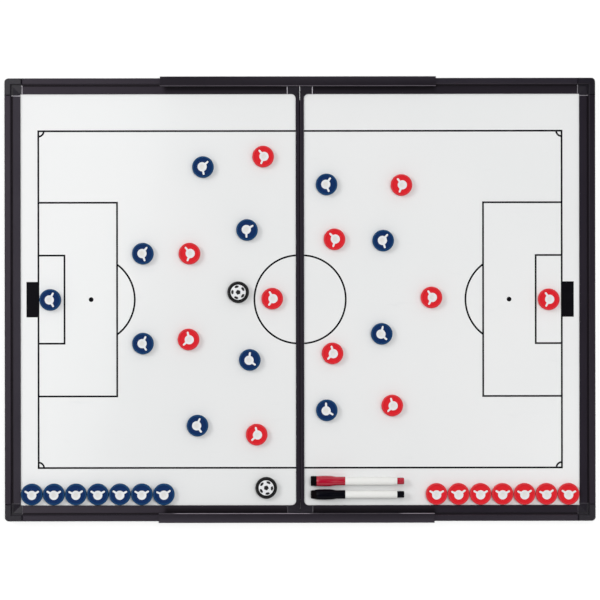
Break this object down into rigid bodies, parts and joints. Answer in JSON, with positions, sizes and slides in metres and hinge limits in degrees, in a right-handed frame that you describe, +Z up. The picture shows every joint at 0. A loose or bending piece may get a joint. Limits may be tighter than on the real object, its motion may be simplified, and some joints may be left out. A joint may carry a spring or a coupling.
{
  "type": "folding magnetic tactics board",
  "caption": "Folding white magnetic board in a dark frame with a printed football pitch, sliding lock bars, magnetic player counters and marker pens.",
  "frame": {"origin": "on the table under the middle of the seam, at the bottom centre of the open board", "axes": "+X along the open board to the right, +Y across it towards the top edge, +Z up out of the writing face"},
  "size_m": [0.6, 0.4532, 0.0214],
  "materials": {
    "enamel": "gloss white enamel on steel",
    "core": "raw fibreboard",
    "backing": "dark grey embossed coated sheet",
    "rail": "satin charcoal anodised",
    "corner": "fine grained charcoal moulding",
    "bar": "satin charcoal anodised",
    "hinge": "zinc plated steel",
    "blue_counter": "gloss navy",
    "red_counter": "gloss red",
    "ball": "gloss black",
    "red_pen": "gloss crimson",
    "black_pen": "gloss black",
    "pen_barrel": "satin white",
    "felt": "dark felt",
    "red_ink": "ink soaked fibre",
    "black_ink": "ink soaked fibre"
  },
  "bodies": {
    "left_leaf": {"left_backing_sheet": "backing", "left_core_board": "core", "left_writing_sheet": "enamel", "left_long_rails": "rail", "left_side_rail": "rail", "left_hinge_rail": "rail", "left_corner_caps": "corner", "left_seam_corners": "corner", "hinge_plate_left": "hinge", "hinge_pin": "hinge"},
    "right_leaf": {"right_backing_sheet": "backing", "right_core_board": "core", "right_writing_sheet": "enamel", "right_long_rails": "rail", "right_side_rail": "rail", "right_hinge_rail": "rail", "right_corner_caps": "corner", "right_seam_corners": "corner", "hinge_plate_right": "hinge"},
    "top_bar": {"top_lock_bar": "bar"},
    "bottom_bar": {"bottom_lock_bar": "bar"},
    "red_cap": {"red_pen_cap": "red_pen", "red_pen_eraser": "felt"},
    "red_barrel": {"red_pen_barrel": "pen_barrel", "red_pen_nib": "red_ink", "red_pen_end_plug": "red_pen"},
    "black_cap": {"black_pen_cap": "black_pen", "black_pen_eraser": "felt"},
    "black_barrel": {"black_pen_barrel": "pen_barrel", "black_pen_nib": "black_ink", "black_pen_end_plug": "black_pen"},
    "match_ball": {"match_ball": "ball"},
    "blue_player_01": {"blue_player_01": "blue_counter"},
    "blue_player_02": {"blue_player_02": "blue_counter"},
    "blue_player_03": {"blue_player_03": "blue_counter"},
    "blue_player_04": {"blue_player_04": "blue_counter"},
    "blue_player_05": {"blue_player_05": "blue_counter"},
    "blue_player_06": {"blue_player_06": "blue_counter"},
    "blue_player_07": {"blue_player_07": "blue_counter"},
    "blue_player_08": {"blue_player_08": "blue_counter"},
    "blue_player_09": {"blue_player_09": "blue_counter"},
    "blue_player_10": {"blue_player_10": "blue_counter"},
    "blue_player_11": {"blue_player_11": "blue_counter"},
    "red_player_01": {"red_player_01": "red_counter"},
    "red_player_02": {"red_player_02": "red_counter"},
    "red_player_03": {"red_player_03": "red_counter"},
    "red_player_04": {"red_player_04": "red_counter"},
    "red_player_05": {"red_player_05": "red_counter"},
    "red_player_06": {"red_player_06": "red_counter"},
    "red_player_07": {"red_player_07": "red_counter"},
    "red_player_08": {"red_player_08": "red_counter"},
    "red_player_09": {"red_player_09": "red_counter"},
    "red_player_10": {"red_player_10": "red_counter"},
    "red_player_11": {"red_player_11": "red_counter"},
    "spare_ball": {"spare_ball": "ball"},
    "spare_blue_players": {"spare_blue_players": "blue_counter"},
    "spare_red_players": {"spare_red_players": "red_counter"}
  },
  "joints": [
    {"name": "board_fold", "type": "hinge", "parent": "left_leaf", "child": "right_leaf", "pos_m": [0, 0, 0.002], "axis": [0, 1, 0], "range_deg": [0, 179]},
    {"name": "bar_top_slide", "type": "slide", "parent": "left_leaf", "child": "top_bar", "axis": [-1, 0, 0], "range_m": [0, 0.1386]},
    {"name": "bar_bottom_slide", "type": "slide", "parent": "left_leaf", "child": "bottom_bar", "axis": [-1, 0, 0], "range_m": [0, 0.137]},
    {"name": "lift_red_pen", "type": "slide", "parent": "right_leaf", "child": "red_cap", "axis": [0, 0, 1], "range_m": [0, 0.04]},
    {"name": "barrel_red_pull", "type": "slide", "parent": "red_cap", "child": "red_barrel", "axis": [1, 0, 0], "range_m": [0, 0.02]},
    {"name": "lift_black_pen", "type": "slide", "parent": "right_leaf", "child": "black_cap", "axis": [0, 0, 1], "range_m": [0, 0.04]},
    {"name": "barrel_black_pull", "type": "slide", "parent": "black_cap", "child": "black_barrel", "axis": [1, 0, 0], "range_m": [0, 0.02]},
    {"name": "lift_match_ball", "type": "slide", "parent": "left_leaf", "child": "match_ball", "axis": [0, 0, 1], "range_m": [0, 0.04]},
    {"name": "lift_blue_player_01", "type": "slide", "parent": "left_leaf", "child": "blue_player_01", "axis": [0, 0, 1], "range_m": [0, 0.04]},
    {"name": "lift_blue_player_02", "type": "slide", "parent": "left_leaf", "child": "blue_player_02", "axis": [0, 0, 1], "range_m": [0, 0.04]},
    {"name": "lift_blue_player_03", "type": "slide", "parent": "left_leaf", "child": "blue_player_03", "axis": [0, 0, 1], "range_m": [0, 0.04]},
    {"name": "lift_blue_player_04", "type": "slide", "parent": "left_leaf", "child": "blue_player_04", "axis": [0, 0, 1], "range_m": [0, 0.04]},
    {"name": "lift_blue_player_05", "type": "slide", "parent": "left_leaf", "child": "blue_player_05", "axis": [0, 0, 1], "range_m": [0, 0.04]},
    {"name": "lift_blue_player_06", "type": "slide", "parent": "left_leaf", "child": "blue_player_06", "axis": [0, 0, 1], "range_m": [0, 0.04]},
    {"name": "lift_blue_player_07", "type": "slide", "parent": "left_leaf", "child": "blue_player_07", "axis": [0, 0, 1], "range_m": [0, 0.04]},
    {"name": "lift_blue_player_08", "type": "slide", "parent": "right_leaf", "child": "blue_player_08", "axis": [0, 0, 1], "range_m": [0, 0.04]},
    {"name": "lift_blue_player_09", "type": "slide", "parent": "right_leaf", "child": "blue_player_09", "axis": [0, 0, 1], "range_m": [0, 0.04]},
    {"name": "lift_blue_player_10", "type": "slide", "parent": "right_leaf", "child": "blue_player_10", "axis": [0, 0, 1], "range_m": [0, 0.04]},
    {"name": "lift_blue_player_11", "type": "slide", "parent": "right_leaf", "child": "blue_player_11", "axis": [0, 0, 1], "range_m": [0, 0.04]},
    {"name": "lift_red_player_01", "type": "slide", "parent": "right_leaf", "child": "red_player_01", "axis": [0, 0, 1], "range_m": [0, 0.04]},
    {"name": "lift_red_player_02", "type": "slide", "parent": "right_leaf", "child": "red_player_02", "axis": [0, 0, 1], "range_m": [0, 0.04]},
    {"name": "lift_red_player_03", "type": "slide", "parent": "right_leaf", "child": "red_player_03", "axis": [0, 0, 1], "range_m": [0, 0.04]},
    {"name": "lift_red_player_04", "type": "slide", "parent": "right_leaf", "child": "red_player_04", "axis": [0, 0, 1], "range_m": [0, 0.04]},
    {"name": "lift_red_player_05", "type": "slide", "parent": "right_leaf", "child": "red_player_05", "axis": [0, 0, 1], "range_m": [0, 0.04]},
    {"name": "lift_red_player_06", "type": "slide", "parent": "right_leaf", "child": "red_player_06", "axis": [0, 0, 1], "range_m": [0, 0.04]},
    {"name": "lift_red_player_07", "type": "slide", "parent": "left_leaf", "child": "red_player_07", "axis": [0, 0, 1], "range_m": [0, 0.04]},
    {"name": "lift_red_player_08", "type": "slide", "parent": "left_leaf", "child": "red_player_08", "axis": [0, 0, 1], "range_m": [0, 0.04]},
    {"name": "lift_red_player_09", "type": "slide", "parent": "left_leaf", "child": "red_player_09", "axis": [0, 0, 1], "range_m": [0, 0.04]},
    {"name": "lift_red_player_10", "type": "slide", "parent": "left_leaf", "child": "red_player_10", "axis": [0, 0, 1], "range_m": [0, 0.04]},
    {"name": "lift_red_player_11", "type": "slide", "parent": "left_leaf", "child": "red_player_11", "axis": [0, 0, 1], "range_m": [0, 0.04]},
    {"name": "lift_spare_ball", "type": "slide", "parent": "left_leaf", "child": "spare_ball", "axis": [0, 0, 1], "range_m": [0, 0.04]},
    {"name": "lift_spare_blue_players", "type": "slide", "parent": "left_leaf", "child": "spare_blue_players", "axis": [0, 0, 1], "range_m": [0, 0.04]},
    {"name": "lift_spare_red_players", "type": "slide", "parent": "right_leaf", "child": "spare_red_players", "axis": [0, 0, 1], "range_m": [0, 0.04]}
  ]
}
